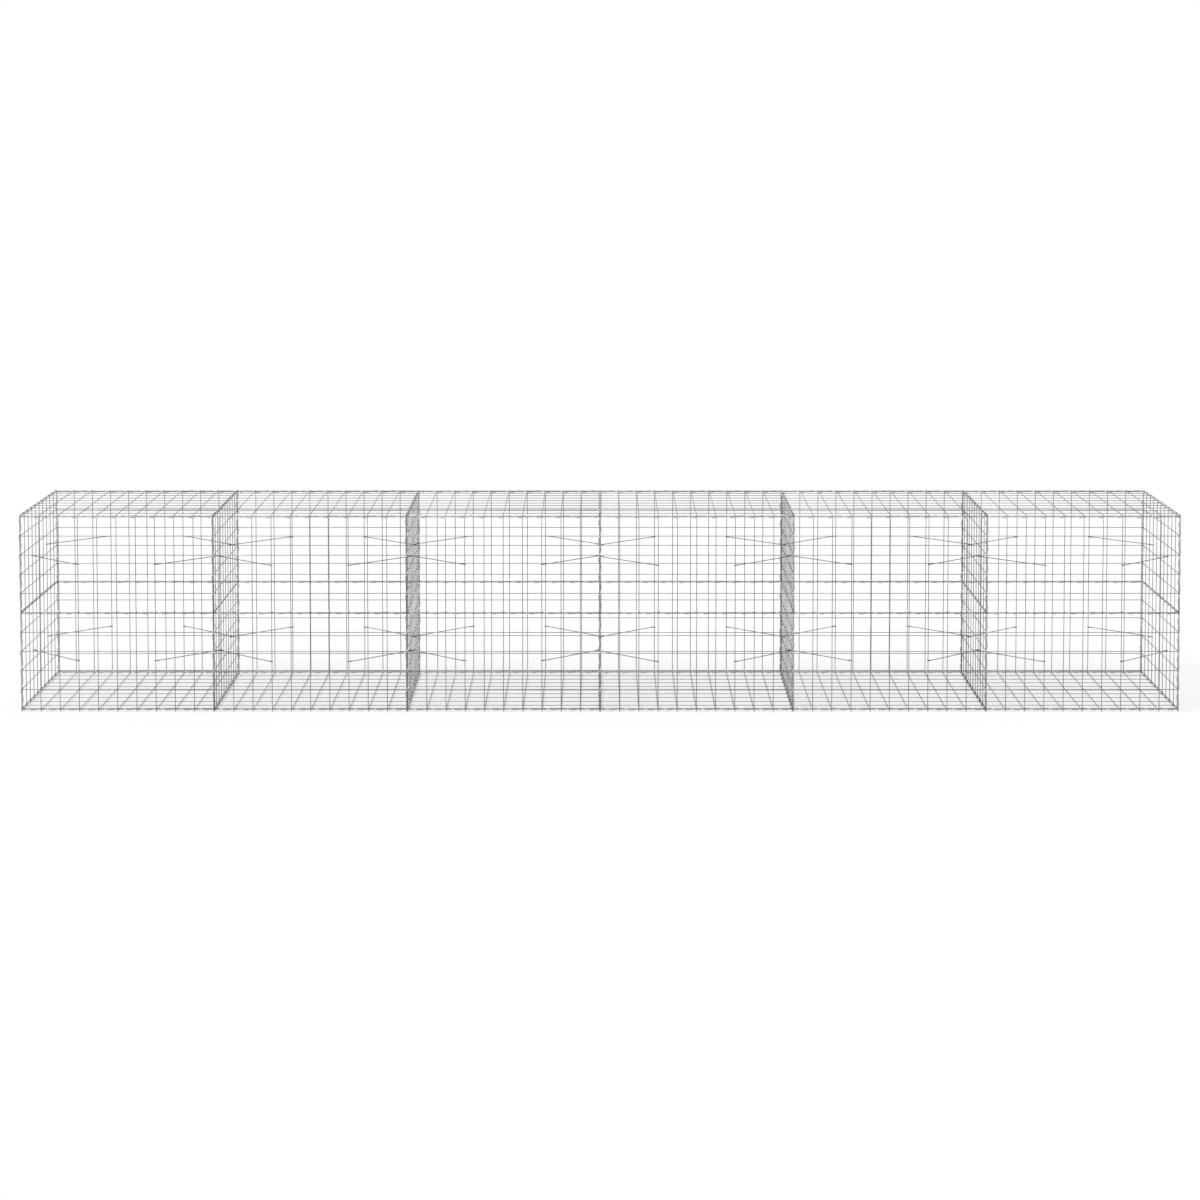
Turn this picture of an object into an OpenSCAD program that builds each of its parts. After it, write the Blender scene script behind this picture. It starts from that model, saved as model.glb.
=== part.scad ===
// Free-standing gabion wall: a run of open wire baskets, empty, with their lids laced shut.
// Millimetres. X runs along the wall, the front faces -Y, and the ground is z = 0.

/* [Baskets] */
// Number of baskets side by side
bays = 6; // [1:1:6]
// Length of one basket, between the centres of its outer wires
bay_w = 1000; // [600:50:1500]
// Depth of the baskets, front to back, between wire centres
depth = 1000; // [600:50:1500]
// Height of one tier of side panels, between wire centres
tier_h = 500; // [300:50:1000]

/* [Welded mesh] */
// Mesh opening, centre to centre, before it is fitted to the panel
mesh_size = 100; // [60:5:200]
// Diameter of the mesh wire
mesh_wire = 4; // [3:0.1:6]
// Depth that crossing wires are welded into each other
weld_sink = 0.4; // [0.2:0.1:0.8]
// Clearance between pieces that are laced together
gap = 0.3; // [0.2:0.1:0.6]

/* [Spiral binders] */
// Diameter of the spiral wire
spiral_wire = 3.5; // [2:0.1:4.5]
// Outside diameter of a spiral
coil_d = 19; // [14:1:22]
// Distance that a spiral stops short of the corner
coil_inset = 15; // [14:1:25]
// Clearance under the spirals that pass below the floor mesh
ground_gap = 0.7; // [0.5:0.1:3]

/* [Bracing ties] */
// Diameter of the tie wire
tie_wire = 4; // [2.5:0.1:5]
// Distance from the basket's corner to where a tie hooks on, before it is fitted to the mesh
tie_reach = 300; // [200:50:400]
// Length of wire turned back past a hook
tie_tail = 25; // [10:1:40]

/* [Hidden] */
// Two tiers of side panels make the height of every basket.
tiers = 2;
zinc = "#b5bcc0";
dull_zinc = "#9aa2a7";
bright_zinc = "#cdd2d5";

// Every mesh wire is a three-sided bar, as deep as the round wire is thick. Its flat side faces out
// of the panel, and its ridge is welded to the ridge of the wires that cross it.
bar_r = mesh_wire / 1.5;
bar_w = bar_r * sqrt(3);
panel_t = 2 * mesh_wire - weld_sink;
coil_swing = (coil_d - spiral_wire) / 2;

cells_x = round(bay_w / mesh_size);
cells_y = round(depth / mesh_size);
cells_z = round(tier_h / mesh_size);
cell_x = bay_w / cells_x;
cell_y = depth / cells_y;
cell_z = tier_h / cells_z;

// Neighbouring panels lie edge wire beside edge wire.
bay_pitch = bay_w + bar_w + gap;
tier_pitch = tier_h + bar_w + gap;
first_wire = (bar_w + gap) / 2;
end_x = bays * bay_pitch / 2 - gap / 2;
face_y = depth / 2 + bar_w / 2 + gap + panel_t;
// The uprights' cut ends reach the ground, and hold the floor mesh clear of it.
floor_z = gap + spiral_wire + ground_gap;
side_z = floor_z + panel_t + gap + bar_w / 2;
lid_z = side_z + tiers * tier_pitch - bar_w / 2;
floor_seam_z = max(floor_z + panel_t + gap / 2, coil_d / 2);
middle_seam_z = side_z + tier_pitch - first_wire;
lid_seam_z = lid_z - gap / 2;

hook_r = bar_r + gap + tie_wire / 2;
tie_cells_x = max(1, round(tie_reach / cell_x));
tie_cells_y = max(1, round(tie_reach / cell_y));
tie_rise = (floor(cells_z / 2) + 0.5) * cell_z;
// Ties of neighbouring baskets hook onto the same wire, one above the other.
tie_stagger = tie_wire / 2 + gap;

// Middle of the joint before basket k + 1, and the first wire of that basket
function bay_x(k) = (k - bays / 2) * bay_pitch;
function bay_start(k) = bay_x(k) + first_wire;
// Middle of a spiral at that joint, which is over the only wire at either end of the wall
function seam_x(k) = bay_x(k) + (k == 0 ? first_wire : k == bays ? -first_wire : 0);

// ---------- welded mesh ----------

// Wire along +X with its flat side on y = 0 and its ridge towards +Y
module face_bar(length)
  translate([0, bar_r / 2, 0]) rotate([0, 90, 0]) rotate([0, 0, 90])
    cylinder(r = bar_r, h = length, $fn = 3);

// Wire along +Z behind the face bars, with its flat side on y = panel_t
module rear_bar(length)
  translate([0, panel_t - bar_r / 2, 0]) rotate([0, 0, -90])
    cylinder(r = bar_r, h = length, $fn = 3);

// Flat welded panel in the XZ plane, its outer side on y = 0 and its first wires crossing at the
// origin. The rear wires may run on past the lowest face wire as feet.
module panel(width, height, cells_w, cells_h, foot = 0)
  color(zinc) {
    for (j = [0 : cells_h])
      translate([-bar_w / 2, 0, j * height / cells_h]) face_bar(width + bar_w);
    for (i = [0 : cells_w])
      translate([i * width / cells_w, 0, -bar_w / 2 - foot]) rear_bar(height + bar_w + foot);
  }

// Front panels of basket k, with the upright wires outside: two tiers, of which the lower stands on
// the ground on its wire ends
module front_mesh(k)
  for (t = [0 : tiers - 1])
    translate([bay_start(k), panel_t - face_y, side_z + t * tier_pitch]) mirror([0, 1, 0])
      panel(bay_w, tier_h, cells_x, cells_z, t == 0 ? side_z - bar_w / 2 : 0);

module back_mesh(k)
  mirror([0, 1, 0]) front_mesh(k);

// Floor panel of basket k, with the wires that run front to back underneath
module floor_mesh(k)
  translate([bay_start(k), -depth / 2, floor_z]) rotate([90, 0, 90])
    panel(depth, bay_w, cells_y, cells_x);

// Lid panel of basket k: a floor panel turned over, on top of the sides
module lid_mesh(k)
  translate([0, 0, lid_z + panel_t + floor_z]) mirror([0, 0, 1]) floor_mesh(k);

// Panel across the wall in two tiers, with its outer side at x
module cross_mesh(x)
  for (t = [0 : tiers - 1])
    translate([x, -depth / 2, side_z + t * tier_pitch]) rotate([0, 0, 90])
      panel(depth, tier_h, cells_y, cells_z);

module partition_mesh(k)
  cross_mesh(bay_x(k) + panel_t / 2);

module right_end_mesh()
  cross_mesh(end_x);

module left_end_mesh()
  mirror([1, 0, 0]) right_end_mesh();

// ---------- spiral binders ----------

// Spiral along +X in front of a seam on y = 0: one swing for each mesh cell, high where a mesh wire
// crosses the seam and low between, or the other way round if it is turned. It is drawn as the flat
// wave that the spiral shows from outside, in square bar as wide as the wire.
module spiral(length, cells, turned = false) {
  cell = length / cells;
  swing = turned ? -coil_swing : coil_swing;
  xs = concat([coil_inset], [for (i = [1 : 2 * cells - 1]) i * cell / 2], [length - coil_inset]);
  heights = [for (x = xs) swing * (1 - 4 * abs(x / cell - round(x / cell)))];
  half = spiral_wire / 2 / cos(atan(4 * coil_swing / cell));
  lower = [for (i = [0 : len(xs) - 1]) [xs[i], heights[i] - half]];
  upper = [for (i = [len(xs) - 1 : -1 : 0]) [xs[i], heights[i] + half]];
  color(bright_zinc) translate([0, -gap, 0]) rotate([90, 0, 0])
    linear_extrude(spiral_wire) polygon(concat(lower, upper));
}

// One spiral along each basket, on the front at height z
module front_spirals(z, turned = false)
  for (k = [0 : bays - 1]) translate([bay_start(k), -face_y, z]) spiral(bay_w, cells_x, turned);

// Upright spirals at the corners and between the baskets, one to a tier
module front_upright_spirals()
  for (k = [0 : bays], t = [0 : tiers - 1])
    translate([seam_x(k), -face_y, side_z + t * tier_pitch]) rotate([0, -90, 0])
      spiral(tier_h, cells_z);

// Spiral front to back, upright beside a cross panel whose outer side is at x
module cross_spiral(x)
  translate([x, -depth / 2, middle_seam_z]) rotate([0, 0, 90]) spiral(depth, cells_y);

// Spirals front to back, lying flat on z = 0
module flat_spirals()
  for (k = [0 : bays])
    translate([seam_x(k), -depth / 2, 0]) rotate([0, 0, 90]) rotate([-90, 0, 0])
      spiral(depth, cells_y);

// The top spirals are turned, to lie against the ends of the upright wires.
module front_bottom_spirals() front_spirals(floor_seam_z);
module front_middle_spirals() front_spirals(middle_seam_z);
module front_top_spirals() front_spirals(lid_seam_z, turned = true);
module back_bottom_spirals() mirror([0, 1, 0]) front_bottom_spirals();
module back_middle_spirals() mirror([0, 1, 0]) front_middle_spirals();
module back_top_spirals() mirror([0, 1, 0]) front_top_spirals();
module back_upright_spirals() mirror([0, 1, 0]) front_upright_spirals();
module cross_floor_spirals() translate([0, 0, floor_z]) mirror([0, 0, 1]) flat_spirals();
module cross_lid_spirals() translate([0, 0, lid_z + panel_t]) flat_spirals();

module cross_middle_spirals() {
  for (k = [1 : 1 : bays - 1]) cross_spiral(bay_x(k) + panel_t / 2);
  cross_spiral(end_x);
  mirror([1, 0, 0]) cross_spiral(end_x);
}

// ---------- bracing ties ----------

// Tie from one upright wire to another, with a hook round each and its end turned back inside
module tie(from, to) {
  run = norm(to - from);
  heading = atan2(to[1] - from[1], to[0] - from[0]);
  color(dull_zinc) translate([from[0], from[1], 0]) rotate([0, 0, heading]) {
    translate([0, hook_r, 0]) tie_bar(run);
    translate([0, -hook_r, 0]) tie_bar(tie_tail);
    translate([run - tie_tail, -hook_r, 0]) tie_bar(tie_tail);
    tie_hook();
    translate([run, 0, 0]) mirror([1, 0, 0]) tie_hook();
  }
}

module tie_bar(length)
  rotate([0, 90, 0]) cylinder(d = tie_wire, h = length, $fn = 24);

module tie_hook()
  rotate([0, 0, 90]) rotate_extrude(angle = 180, $fn = 48)
    translate([hook_r, 0]) circle(d = tie_wire, $fn = 24);

// Upright wires that the ties hook onto: in the front panel, and in the cross panels on either side
function front_hook(x) = [x, bar_r / 2 - face_y];
function left_hook_x(k) = k == 0 ? panel_t - bar_r / 2 - end_x : bay_x(k) - panel_t / 2 + bar_r / 2;
function right_hook_x(k) = k == bays ? -left_hook_x(0) : left_hook_x(k);

// Ties across the two front corners of every basket, half-way up each tier
module front_tie_wires()
  for (k = [0 : bays - 1])
    for (t = [0 : tiers - 1]) {
      z = side_z + t * tier_pitch + tie_rise + (k % 2 == 0 ? tie_stagger : -tie_stagger);
      hook_y = -depth / 2 + tie_cells_y * cell_y;
      near_x = bay_start(k) + tie_cells_x * cell_x;
      far_x = bay_start(k) + (cells_x - tie_cells_x) * cell_x;
      translate([0, 0, z]) {
        tie(front_hook(near_x), [left_hook_x(k), hook_y]);
        tie([right_hook_x(k + 1), hook_y], front_hook(far_x));
      }
    }

module back_tie_wires()
  mirror([0, 1, 0]) front_tie_wires();

// ---------- nodes ----------

for (k = [1 : bays]) {
  front_mesh(k - 1);
  back_mesh(k - 1);
  floor_mesh(k - 1);
  lid_mesh(k - 1);
}
for (k = [1 : 1 : bays - 1])
  partition_mesh(k);
left_end_mesh();
right_end_mesh();
front_bottom_spirals();
front_middle_spirals();
front_top_spirals();
back_bottom_spirals();
back_middle_spirals();
back_top_spirals();
front_upright_spirals();
back_upright_spirals();
cross_floor_spirals();
cross_middle_spirals();
cross_lid_spirals();
front_tie_wires();
back_tie_wires();
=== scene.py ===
import math

import bmesh
import bpy
from mathutils import Matrix, Vector


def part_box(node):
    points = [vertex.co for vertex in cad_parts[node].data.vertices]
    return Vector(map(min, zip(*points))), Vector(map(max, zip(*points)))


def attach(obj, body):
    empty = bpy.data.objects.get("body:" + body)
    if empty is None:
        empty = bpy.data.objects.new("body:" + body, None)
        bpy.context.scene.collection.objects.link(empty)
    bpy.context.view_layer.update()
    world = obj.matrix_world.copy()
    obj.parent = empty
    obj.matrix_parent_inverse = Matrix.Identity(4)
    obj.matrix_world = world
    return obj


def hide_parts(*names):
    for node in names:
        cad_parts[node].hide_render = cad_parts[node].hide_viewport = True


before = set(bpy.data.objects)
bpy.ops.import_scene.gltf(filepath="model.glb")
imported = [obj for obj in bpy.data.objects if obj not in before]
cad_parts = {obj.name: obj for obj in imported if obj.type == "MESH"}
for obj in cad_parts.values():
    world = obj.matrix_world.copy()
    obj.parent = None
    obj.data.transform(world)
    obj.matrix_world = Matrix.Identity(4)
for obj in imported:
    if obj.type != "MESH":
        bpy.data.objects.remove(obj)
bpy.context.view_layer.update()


# ---------- Floor panels ----------
# The six floor panels are sheets of 4 mm wire, welded at every crossing on a 100 mm pitch. The
# wires that run front to back lie underneath. The sheets are welded first, then dipped in zinc.

MM = 0.001
WIRE_R = 2 * MM
WIRE_SIDES = 12
CROP = 0.5 * MM  # the cropper rounds a cut end by this much
LAYER = 3.6 * MM  # from the middle of one layer of wires to that of the other
OVERRUN = 2.309 * MM  # how far a wire runs on past the last wire it crosses
OPENING = 100 * MM
NUGGET = (2.5 * MM, 2.5 * MM, 1.3 * MM)
COAT_SLOT, WELD_SLOT, CUT_SLOT = 0, 1, 2


def add_copy(piece, shape, place):
    """Adds a copy of a shape to a piece, at its place there."""
    pattern = bpy.data.meshes.new("pattern")
    shape.to_mesh(pattern)
    old = len(piece.verts)
    piece.from_mesh(pattern)
    bpy.data.meshes.remove(pattern)
    piece.verts.ensure_lookup_table()
    bmesh.ops.transform(piece, matrix=place, verts=piece.verts[old:])


def sheared_wire(length):
    """Straight wire up +Z from the origin, cut off with a bolt cropper at both ends."""
    wire = bmesh.new()
    bmesh.ops.create_cone(wire, cap_ends=True, segments=WIRE_SIDES, radius1=WIRE_R, radius2=WIRE_R,
                          depth=length, matrix=Matrix.Translation((0, 0, length / 2)))
    cuts = [f for f in wire.faces if len(f.verts) == WIRE_SIDES]
    rims = [e for f in cuts for e in f.edges]
    bmesh.ops.bevel(wire, geom=rims, offset=CROP, segments=1, profile=0.5, affect="EDGES",
                    material=-1)
    for face in wire.faces:
        face.smooth = len(face.verts) != WIRE_SIDES
        face.material_index = COAT_SLOT if face.smooth else CUT_SLOT
    return wire


def weld_nugget():
    """The squeezed metal where two wires are welded, between them at the origin."""
    weld = bmesh.new()
    bmesh.ops.create_uvsphere(weld, u_segments=8, v_segments=4, radius=1)
    bmesh.ops.scale(weld, vec=NUGGET, verts=weld.verts)
    for face in weld.faces:
        face.smooth = True
        face.material_index = WELD_SLOT
    return weld


def welded_sheet(width, height, foot=0):
    """Welded panel in the XZ plane, its outer side on y = 0 and its first crossing at x = z = 0.
    Its level wires are outside, and its upright wires may run on past the lowest one as feet."""
    sheet = bmesh.new()
    across = round(width / OPENING)
    up = round(height / OPENING)
    upright = sheared_wire(height + 2 * OVERRUN + foot)
    level = sheared_wire(width + 2 * OVERRUN)
    weld = weld_nugget()
    lying = Matrix.Rotation(math.radians(90), 4, "Y")
    flat = Matrix.Rotation(math.radians(90), 4, "X")
    for i in range(across + 1):
        x = i * width / across
        add_copy(sheet, upright, Matrix.Translation((x, WIRE_R + LAYER, -OVERRUN - foot)))
    for j in range(up + 1):
        z = j * height / up
        add_copy(sheet, level, Matrix.Translation((-OVERRUN, WIRE_R, z)) @ lying)
        for i in range(across + 1):
            x = i * width / across
            add_copy(sheet, weld, Matrix.Translation((x, WIRE_R + LAYER / 2, z)) @ flat)
    return sheet


def linear(code):
    """Linear colour from an sRGB hex code."""
    parts = [int(code[i:i + 2], 16) / 255 for i in (1, 3, 5)]
    return [c / 12.92 if c <= 0.04045 else ((c + 0.055) / 1.055) ** 2.4 for c in parts] + [1]


def add_node(material, kind, inputs, **settings):
    """Adds a shader node. Its inputs are values, or the sockets that feed them."""
    node = material.node_tree.nodes.new("ShaderNode" + kind)
    for name, value in settings.items():
        setattr(node, name, value)
    for name, value in inputs.items():
        if isinstance(value, bpy.types.NodeSocket):
            material.node_tree.links.new(value, node.inputs[name])
        else:
            node.inputs[name].default_value = value
    return node


def zinc_finish(name, dark, light, bloom, crystal, roughness):
    """Zinc coat: crystals between two greys, their size in metres, with whitish bloom over them."""
    zinc = bpy.data.materials.new(name)
    zinc.use_nodes = True
    shader = zinc.node_tree.nodes["Principled BSDF"]
    place = add_node(zinc, "TexCoord", {}).outputs["Object"]
    spangle = add_node(zinc, "TexVoronoi", {"Vector": place, "Scale": 1 / crystal, "Randomness": 1})
    grey = add_node(zinc, "Mix", {0: spangle.outputs["Distance"], 6: linear(dark),
                                  7: linear(light)}, data_type="RGBA")
    # white rust comes up in patches some 50 mm long, broken up by finer grain
    patches = add_node(zinc, "TexNoise", {"Vector": place, "Scale": 1 / (50 * MM), "Detail": 5,
                                          "Roughness": 0.65})
    patch = add_node(zinc, "MapRange", {"Value": patches.outputs["Fac"], "From Min": 0.52,
                                        "From Max": 0.72, "To Min": 0.0, "To Max": 0.7})
    colour = add_node(zinc, "Mix", {0: patch.outputs["Result"], 6: grey.outputs[2],
                                    7: linear(bloom)}, data_type="RGBA")
    # the bath leaves the coat uneven every 2 mm or so
    grain = add_node(zinc, "TexNoise", {"Vector": place, "Scale": 1 / (2 * MM), "Detail": 3,
                                        "Roughness": 0.6})
    sheen = add_node(zinc, "MapRange", {"Value": grain.outputs["Fac"], "From Min": 0.3,
                                        "From Max": 0.7, "To Min": roughness - 0.08,
                                        "To Max": roughness + 0.12})
    relief = add_node(zinc, "Bump", {"Height": grain.outputs["Fac"], "Strength": 0.35,
                                     "Distance": 0.15 * MM})
    zinc.node_tree.links.new(colour.outputs[2], shader.inputs["Base Color"])
    zinc.node_tree.links.new(sheen.outputs["Result"], shader.inputs["Roughness"])
    zinc.node_tree.links.new(relief.outputs["Normal"], shader.inputs["Normal"])
    shader.inputs["Metallic"].default_value = 1
    return zinc


# Hot-dip galvanised steel is a soft bluish grey with small crystals, and neither bright nor flat.
galvanised_wire = zinc_finish("hot_dip_galvanised_wire", "#74777a", "#92969a", "#a5a9ab",
                              3 * MM, 0.42)
# The heat of the weld leaves its zinc coarser, darker and duller.
weld_zinc = zinc_finish("dull_weld_zinc", "#66696c", "#828689", "#969a9c", 1.5 * MM, 0.58)
# A sheared end has no zinc on it, and shows bare grey steel that has begun to brown.
sheared_steel = zinc_finish("sheared_steel_end", "#55504b", "#7b7671", "#80674f", 1 * MM, 0.5)


def hang(name, shape, node, slot, *materials):
    """Makes a shape a piece that takes the place of a CAD node, on the body of the wall."""
    mesh = bpy.data.meshes.new(name)
    shape.to_mesh(mesh)
    for material in materials:
        mesh.materials.append(material)
    piece = bpy.data.objects.new(name, mesh)
    bpy.context.scene.collection.objects.link(piece)
    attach(piece, "root")
    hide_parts(node)


def between_outer_wires(node):
    """Distances between the middles of a panel's outer wires, along each axis."""
    low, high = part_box(node)
    return high - low - Vector((2, 2, 2)) * OVERRUN


BAYS = 6
floor_low, floor_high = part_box("floor_mesh_1")
bay_length, bay_depth, _ = between_outer_wires("floor_mesh_1")
flat_sheet = welded_sheet(bay_depth, bay_length)
face_up = Matrix(((0, 0, 1, 0), (1, 0, 0, 0), (0, 1, 0, 0), (0, 0, 0, 1)))
for k in range(1, BAYS + 1):
    low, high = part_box(f"floor_mesh_{k}")
    floor = bmesh.new()
    corner = Vector((low.x + OVERRUN, low.y + OVERRUN, low.z))
    add_copy(floor, flat_sheet, Matrix.Translation(corner) @ face_up)
    hang(f"floor_panel_{k}", floor, f"floor_mesh_{k}", "mesh_wire",
         galvanised_wire, weld_zinc, sheared_steel)


# ---------- Front and back panels ----------
# Each basket has two half-height sheets in front and two behind, one standing on the other. Their
# upright wires are outside, and those of the lower sheet run on to the ground as short feet.

GAP = 0.3 * MM  # between sheets that stand side by side or one on the other
TIER = 500 * MM
tier_step = TIER + 2 * OVERRUN + GAP
side_foot = floor_high.z + GAP
lowest_wire = side_foot + OVERRUN
lower_side = welded_sheet(bay_length, TIER, foot=side_foot)
upper_side = welded_sheet(bay_length, TIER)
about_face = Matrix.Rotation(math.radians(180), 4, "Z")
for side in ("front", "back"):
    for k in range(1, BAYS + 1):
        low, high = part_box(f"{side}_mesh_{k}")
        if side == "front":
            place = Matrix.Translation((high.x - OVERRUN, high.y, lowest_wire)) @ about_face
        else:
            place = Matrix.Translation((low.x + OVERRUN, low.y, lowest_wire))
        panels = bmesh.new()
        add_copy(panels, lower_side, place)
        add_copy(panels, upper_side, Matrix.Translation((0, 0, tier_step)) @ place)
        hang(f"{side}_panel_{k}", panels, f"{side}_mesh_{k}", "mesh_wire",
             galvanised_wire, weld_zinc, sheared_steel)


# ---------- Partitions and ends ----------
# The same half-height sheets close both ends, and stand between the baskets. They rest on the floor
# panels, with their level wires to the outside at the ends.

cross_tier = welded_sheet(bay_depth, TIER)
quarter_turn = Matrix.Rotation(math.radians(90), 4, "Z")
partitions = [f"partition_mesh_{k}" for k in range(1, BAYS)]
for node in [*partitions, "left_end_mesh", "right_end_mesh"]:
    low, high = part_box(node)
    if node == "left_end_mesh":
        place = Matrix.Translation((low.x, high.y - OVERRUN, lowest_wire)) @ quarter_turn.inverted()
    else:
        place = Matrix.Translation((high.x, low.y + OVERRUN, lowest_wire)) @ quarter_turn
    panels = bmesh.new()
    add_copy(panels, cross_tier, place)
    add_copy(panels, cross_tier, Matrix.Translation((0, 0, tier_step)) @ place)
    hang(node.replace("mesh", "panel"), panels, node, "mesh_wire",
         galvanised_wire, weld_zinc, sheared_steel)


# ---------- Spirals along the bottom and the middle ----------
# The sheets are laced together with spirals of 3.5 mm spring wire, one to each side of a basket. A
# spiral is screwed in from its end, and makes one turn round the edge wires for each opening.

SPIRAL_R = 1.75 * MM
SPIRAL_SIDES = 8
INSET = 15 * MM  # a spiral is cut short of the corner by this
STEPS = 18  # straight pieces in one turn
BOTTOM_COIL = 7.25 * MM  # a coil's radius is to the middle of its wire
MIDDLE_COIL = 7 * MM
OFF_LINE = 0.5 * MM  # the middle seams sit off the line of the uprights by this
CUT_END_SLOT = 1


def spiral(length, radius):
    """Spiral along +X round the X axis, at its top where each mesh wire crosses the seam."""
    coil = bmesh.new()
    turns = round(length / OPENING)
    pitch = length / turns
    sweep = 2 * math.pi * (length - 2 * INSET) / pitch
    steps = round((length - 2 * INSET) / pitch * STEPS)
    begin = Matrix.Rotation(2 * math.pi * INSET / pitch, 4, "X")
    heading = begin @ Vector((pitch, -2 * math.pi * radius, 0))
    centre = Vector((INSET, 0, 0)) + begin @ Vector((0, 0, radius))
    across = Matrix.Translation(centre) @ heading.to_track_quat("Z", "X").to_matrix().to_4x4()
    bmesh.ops.create_circle(coil, segments=SPIRAL_SIDES, radius=SPIRAL_R, matrix=across)
    bmesh.ops.spin(coil, geom=[*coil.verts, *coil.edges], cent=(0, 0, 0), axis=(1, 0, 0),
                   dvec=((length - 2 * INSET) / steps, 0, 0), angle=sweep, steps=steps,
                   use_merge=False, use_duplicate=False)
    for face in coil.faces:
        face.smooth = True
    ends = [e for e in coil.edges if e.is_boundary]
    for face in bmesh.ops.holes_fill(coil, edges=ends, sides=SPIRAL_SIDES)["faces"]:
        face.smooth = False
        face.material_index = CUT_END_SLOT
    bmesh.ops.recalc_face_normals(coil, faces=coil.faces)
    return coil


def seam(at, along, top):
    """Place of a spiral that starts at a point, runs one way and has its top another way."""
    x = Vector(along).normalized()
    z = Vector(top).normalized()
    turned = Matrix((x, z.cross(x), z)).transposed().to_4x4()
    return Matrix.Translation(at) @ turned


# Spring wire is drawn after it is coated, so its zinc is smoother and brighter than the mesh's.
spring_wire = zinc_finish("zinc_coated_spring_wire", "#c3c6c9", "#dadcde", "#e4e5e5", 6 * MM, 0.3)

bay_starts = [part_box(f"floor_mesh_{k}")[0].x + OVERRUN for k in range(1, BAYS + 1)]
side_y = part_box("back_mesh_1")[0].y + WIRE_R
edge_y = floor_high.y - OVERRUN
middle_z = lowest_wire + tier_step - OVERRUN - GAP / 2
bottom_spiral = spiral(bay_length, BOTTOM_COIL)
middle_spiral = spiral(bay_length, MIDDLE_COIL)
for side, out in (("front", -1), ("back", 1)):
    bottom = bmesh.new()
    middle = bmesh.new()
    for x in bay_starts:
        # the bottom spiral passes inside the basket where the uprights are
        at = (x, out * (side_y + edge_y) / 2, (lowest_wire + floor_high.z - WIRE_R) / 2)
        add_copy(bottom, bottom_spiral, seam(at, (1, 0, 0), (0, -out, 1)))
        at = (x, out * (side_y - OFF_LINE), middle_z)
        add_copy(middle, middle_spiral, seam(at, (1, 0, 0), (0, 0, 1)))
    hang(f"{side}_bottom_lacing", bottom, f"{side}_bottom_spirals", "spiral_wire",
         spring_wire, sheared_steel)
    hang(f"{side}_middle_lacing", middle, f"{side}_middle_spirals", "spiral_wire",
         spring_wire, sheared_steel)


# ---------- Upright spirals ----------
# The same spirals stand at the corners and between the baskets, one to a tier. Each goes round the
# outermost upright wires of the panels that meet there.

PARTITION_COIL = 8.5 * MM
CORNER_COIL = 8.2 * MM
CORNER_INSET = 4 * MM
upright_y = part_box("back_mesh_1")[1].y - WIRE_R
seam_y = (upright_y + edge_y) / 2
seam_xs = [x - OVERRUN - GAP / 2 for x in bay_starts]
end_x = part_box("right_end_mesh")[1].x
corner_x = end_x - CORNER_INSET
between_spiral = spiral(TIER, PARTITION_COIL)
corner_spiral = spiral(TIER, CORNER_COIL)
for side, out in (("front", -1), ("back", 1)):
    uprights = bmesh.new()
    for t in range(2):
        z = lowest_wire + t * tier_step
        for x in seam_xs[1:]:
            at = (x, out * seam_y, z)
            add_copy(uprights, between_spiral, seam(at, (0, 0, 1), (0, out, 0)))
        for end in (-1, 1):
            at = (end * corner_x, out * seam_y, z)
            add_copy(uprights, corner_spiral, seam(at, (0, 0, 1), (end, out, 0)))
    hang(f"{side}_upright_lacing", uprights, f"{side}_upright_spirals", "spiral_wire",
         spring_wire, sheared_steel)


# ---------- Spirals from front to back ----------
# Spirals also lace each partition and end to the floor and to the sheet above it. Under the floor
# they pass below the wires that cross them.

END_COIL = 7.95 * MM
END_INSET = 3 * MM
cross_z = (lowest_wire + floor_low.z + WIRE_R) / 2
cross_spiral = spiral(bay_depth, PARTITION_COIL)
end_spiral = spiral(bay_depth, END_COIL)
cross_middle = spiral(bay_depth, MIDDLE_COIL)
under = bmesh.new()
halfway = bmesh.new()
for x in seam_xs[1:]:
    add_copy(under, cross_spiral, seam((x, -edge_y, cross_z), (0, 1, 0), (0, 0, -1)))
    at = (x + LAYER / 2 + OFF_LINE, -edge_y, middle_z)
    add_copy(halfway, cross_middle, seam(at, (0, 1, 0), (0, 0, 1)))
for end in (-1, 1):
    at = (end * (end_x - END_INSET), -edge_y, cross_z)
    add_copy(under, end_spiral, seam(at, (0, 1, 0), (0, 0, -1)))
    at = (end * (end_x - WIRE_R + OFF_LINE), -edge_y, middle_z)
    add_copy(halfway, cross_middle, seam(at, (0, 1, 0), (0, 0, 1)))
hang("cross_floor_lacing", under, "cross_floor_spirals", "spiral_wire", spring_wire, sheared_steel)
hang("cross_middle_lacing", halfway, "cross_middle_spirals", "spiral_wire",
     spring_wire, sheared_steel)


# ---------- Bracing ties ----------
# Straight 4 mm wires cross the corners of each basket half-way up each tier, and keep it square as
# stone goes in. Both ends are bent round an upright wire and back along the tie.

HOOK_R = 4.35 * MM
TAIL = 25 * MM
REACH = 3 * OPENING
STAGGER = 2.3 * MM  # ties of neighbouring baskets hook the same wires, one above the other
TIE_SIDES = 10


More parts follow.
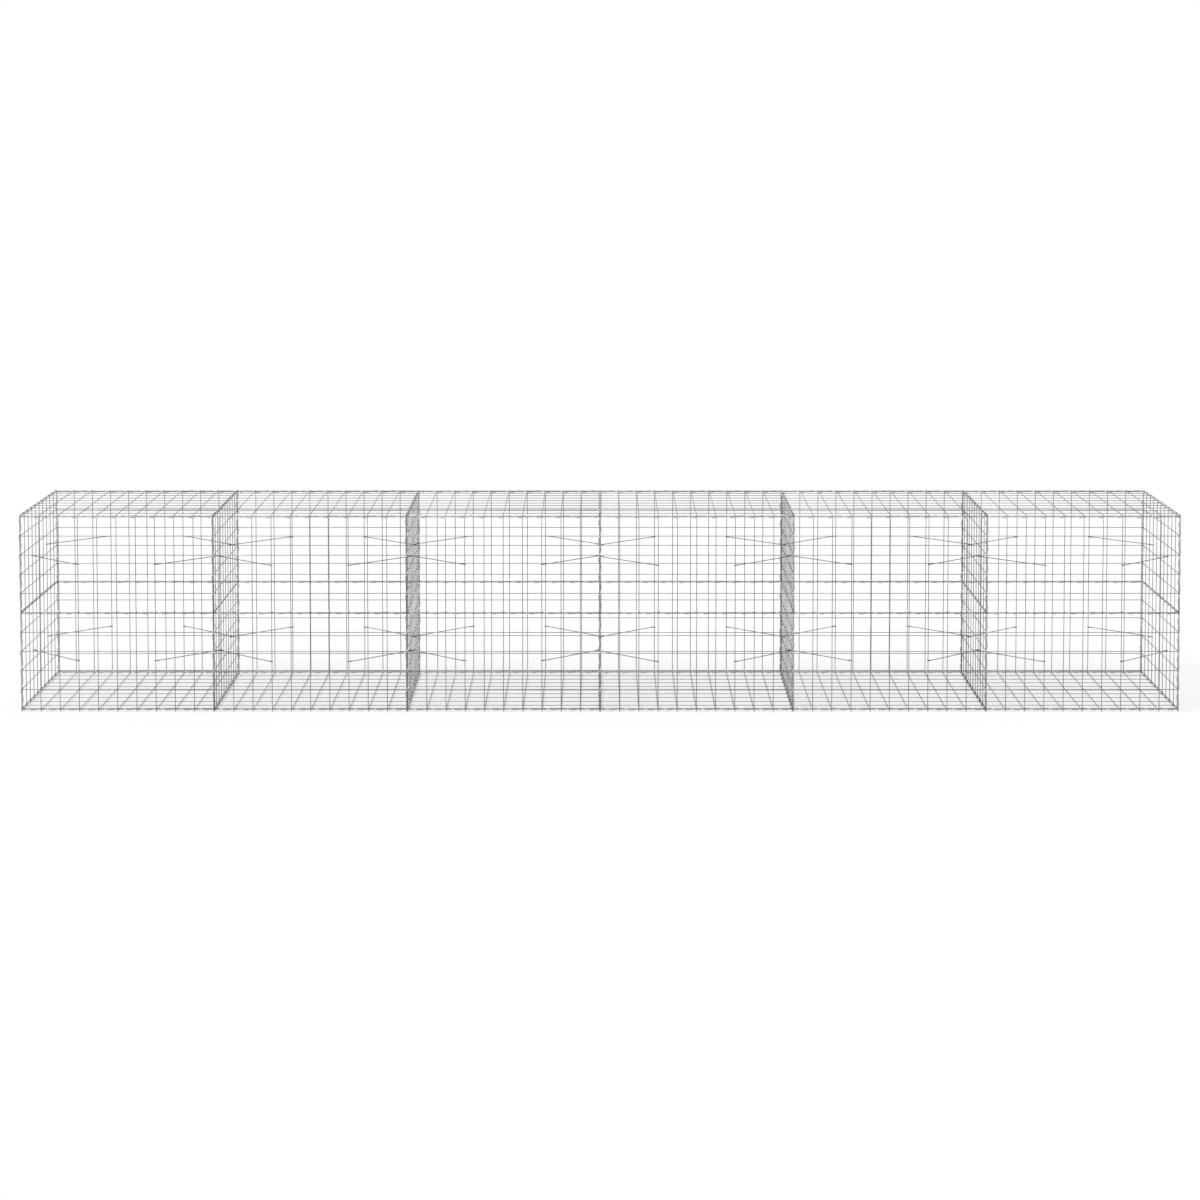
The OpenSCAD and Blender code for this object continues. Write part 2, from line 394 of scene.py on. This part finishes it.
def bent_tie(start, end):
    """Tie between two upright wires, bent round each of them, at the height of the points."""
    run = (end - start).length
    rod = bmesh.new()
    face_x = Matrix.Rotation(math.radians(90), 4, "Y")
    bmesh.ops.create_circle(rod, segments=TIE_SIDES, radius=WIRE_R,
                            matrix=Matrix.Translation((TAIL, -HOOK_R, 0)) @ face_x)
    ring = [*rod.verts, *rod.edges]

    def last(geom):
        return [g for g in geom if not isinstance(g, bmesh.types.BMFace)]

    def forward(ring, distance):
        edges = [g for g in ring if isinstance(g, bmesh.types.BMEdge)]
        ring = last(bmesh.ops.extrude_edge_only(rod, edges=edges)["geom"])
        verts = [g for g in ring if isinstance(g, bmesh.types.BMVert)]
        bmesh.ops.translate(rod, vec=(distance, 0, 0), verts=verts)
        return ring

    def bend(ring, x, sense):
        new = bmesh.ops.spin(rod, geom=ring, cent=(x, 0, 0), axis=(0, 0, 1), angle=sense * math.pi,
                             steps=8, use_merge=False, use_duplicate=False)
        return last(new["geom_last"])

    ring = forward(ring, -TAIL)
    ring = bend(ring, 0, -1)
    ring = forward(ring, run)
    ring = bend(ring, run, -1)
    ring = forward(ring, -TAIL)
    for face in rod.faces:
        face.smooth = True
    ends = [e for e in rod.edges if e.is_boundary]
    for face in bmesh.ops.holes_fill(rod, edges=ends, sides=TIE_SIDES)["faces"]:
        face.smooth = False
        face.material_index = CUT_END_SLOT
    bmesh.ops.recalc_face_normals(rod, faces=rod.faces)
    along = end - start
    turned = Matrix.Rotation(math.atan2(along.y, along.x), 4, "Z")
    bmesh.ops.transform(rod, matrix=Matrix.Translation(start) @ turned, verts=rod.verts)
    return rod


# Tie wire is drawn through a die after galvanising, which leaves it plain and smooth.
# Its grey is set darker than the mesh's as painted shade, so that the ties which catch no highlight
# from the key lamp stay dark.
tie_wire_painted_shade = zinc_finish("drawn_tie_wire_with_painted_shade", "#55585a", "#707376", "#858789", 8 * MM, 0.36)

hook_heights = [lowest_wire + t * tier_step + TIER / 2 for t in range(2)]
for side, out in (("front", -1), ("back", 1)):
    ties = bmesh.new()
    for k in range(BAYS):
        left = seam_xs[k] - LAYER / 2 if k else -end_x + WIRE_R + LAYER
        right = seam_xs[k + 1] - LAYER / 2 if k < BAYS - 1 else end_x - WIRE_R - LAYER
        near = bay_starts[k] + REACH
        far = bay_starts[k] + bay_length - REACH
        stagger = STAGGER if k % 2 == 0 else -STAGGER
        for z in hook_heights:
            hooks = [
                ((near, out * upright_y), (left, out * (edge_y - REACH))),
                ((right, out * (edge_y - REACH)), (far, out * upright_y)),
            ]
            for start, end in hooks:
                if side == "back":
                    start, end = end, start
                rod = bent_tie(Vector((*start, z + stagger)), Vector((*end, z + stagger)))
                add_copy(ties, rod, Matrix.Identity(4))
    hang(f"{side}_bracing_ties", ties, f"{side}_tie_wires", "tie_wire", tie_wire_painted_shade, sheared_steel)


# ---------- Lid panels ----------
# The lids are the same sheets as the floor, turned over, so that the wires from front to back are
# on top. They are laid on when the baskets are full, and laced shut.

face_down = Matrix.Rotation(math.radians(180), 4, "X") @ face_up
for k in range(1, BAYS + 1):
    low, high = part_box(f"lid_mesh_{k}")
    lid = bmesh.new()
    corner = Vector((low.x + OVERRUN, high.y - OVERRUN, high.z))
    add_copy(lid, flat_sheet, Matrix.Translation(corner) @ face_down)
    hang(f"lid_panel_{k}", lid, f"lid_mesh_{k}", "mesh_wire",
         galvanised_wire, weld_zinc, sheared_steel)


# ---------- Lid spirals ----------
# The last spirals lace the lids to the front, the back, the ends and the partitions. Over the
# partitions they pass above the wires that cross them.

lid_low, lid_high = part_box("lid_mesh_1")
highest_wire = lowest_wire + tier_step + TIER
for side, out in (("front", -1), ("back", 1)):
    top = bmesh.new()
    for x in bay_starts:
        at = (x, out * (side_y + edge_y) / 2, (highest_wire + lid_low.z + WIRE_R) / 2)
        add_copy(top, bottom_spiral, seam(at, (1, 0, 0), (0, -out, -1)))
    hang(f"{side}_top_lacing", top, f"{side}_top_spirals", "spiral_wire",
         spring_wire, sheared_steel)
OVER_COIL = 8.15 * MM
over = bmesh.new()
over_z = (highest_wire + lid_high.z - WIRE_R) / 2
over_spiral = spiral(bay_depth, OVER_COIL)
for x in seam_xs[1:]:
    add_copy(over, over_spiral, seam((x, -edge_y, over_z), (0, 1, 0), (0, 0, 1)))
for end in (-1, 1):
    at = (end * (end_x - END_INSET), -edge_y, over_z)
    add_copy(over, end_spiral, seam(at, (0, 1, 0), (0, 0, 1)))
hang("cross_lid_lacing", over, "cross_lid_spirals", "spiral_wire", spring_wire, sheared_steel)


# ---------- Studio floor, light and camera ----------
# The wall stands on a wide pale studio floor under two broad soft lamps. The floor is lit as the
# wall is, and light of its own, for the eye and for reflections only, carries it to white.

FLOOR_HALF = 150
OWN_LIGHT = 0.478  # what the lamps leave short of white
FILL_LEVEL = 0.35  # the room's own light on the wall
ground = bmesh.new()
bmesh.ops.create_grid(ground, x_segments=1, y_segments=1, size=FLOOR_HALF)
ground_mesh = bpy.data.meshes.new("studio_floor")
ground.to_mesh(ground_mesh)
studio_floor = bpy.data.objects.new("studio_floor", ground_mesh)
bpy.context.scene.collection.objects.link(studio_floor)


def looked_at(owner):
    """Socket that is 1 for the eye and reflections, and 0 for light that falls on the wall."""
    rays = add_node(owner, "LightPath", {})
    either = add_node(owner, "Math", {0: rays.outputs["Is Camera Ray"],
                                      1: rays.outputs["Is Glossy Ray"]}, operation="MAXIMUM")
    either = add_node(owner, "Math", {0: either.outputs[0],
                                      1: rays.outputs["Is Transmission Ray"]}, operation="MAXIMUM")
    return either.outputs[0]


white_floor = bpy.data.materials.new("white_studio_floor")
white_floor.use_nodes = True
paint = white_floor.node_tree.nodes["Principled BSDF"]
glow = add_node(white_floor, "Math", {0: looked_at(white_floor), 1: OWN_LIGHT},
                operation="MULTIPLY")
paint.inputs["Base Color"].default_value = linear("#b4b4b4")
paint.inputs["Roughness"].default_value = 0.9
paint.inputs["Emission Color"].default_value = linear("#ffffff")
white_floor.node_tree.links.new(glow.outputs[0], paint.inputs["Emission Strength"])
ground_mesh.materials.append(white_floor)

world = bpy.data.worlds.new("white_studio")
bpy.context.scene.world = world
world.use_nodes = True
sky = world.node_tree.nodes["Background"]
sky.inputs["Color"].default_value = linear("#ffffff")
level = add_node(world, "MapRange", {"Value": looked_at(world), "To Min": FILL_LEVEL,
                                     "To Max": 1.0})
world.node_tree.links.new(level.outputs["Result"], sky.inputs["Strength"])


def soft_lamp(name, power, turn, tilt, spread):
    """Far lamp as wide as a patch of cloud, at a turn round the wall and a height, in degrees."""
    lamp = bpy.data.lights.new(name, "SUN")
    lamp.energy = power
    lamp.angle = math.radians(spread)
    holder = bpy.data.objects.new(name, lamp)
    holder.rotation_euler = (math.radians(90 - tilt), 0, math.radians(turn))
    bpy.context.scene.collection.objects.link(holder)


soft_lamp("key_lamp", 2.6, -62, 50, 45)
soft_lamp("fill_lamp", 0.4, 130, 50, 80)

camera = bpy.data.cameras.new("camera")
camera.lens = 86.4
camera.sensor_width = 36
camera.shift_y = -0.25
camera.clip_end = 400
viewer = bpy.data.objects.new("camera", camera)
viewer.location = (0, -15.348, 3.0968)
viewer.rotation_euler = (math.radians(90 - 3.658), 0, 0)
bpy.context.scene.collection.objects.link(viewer)
bpy.context.scene.camera = viewer
bpy.context.scene.view_settings.view_transform = "Standard"
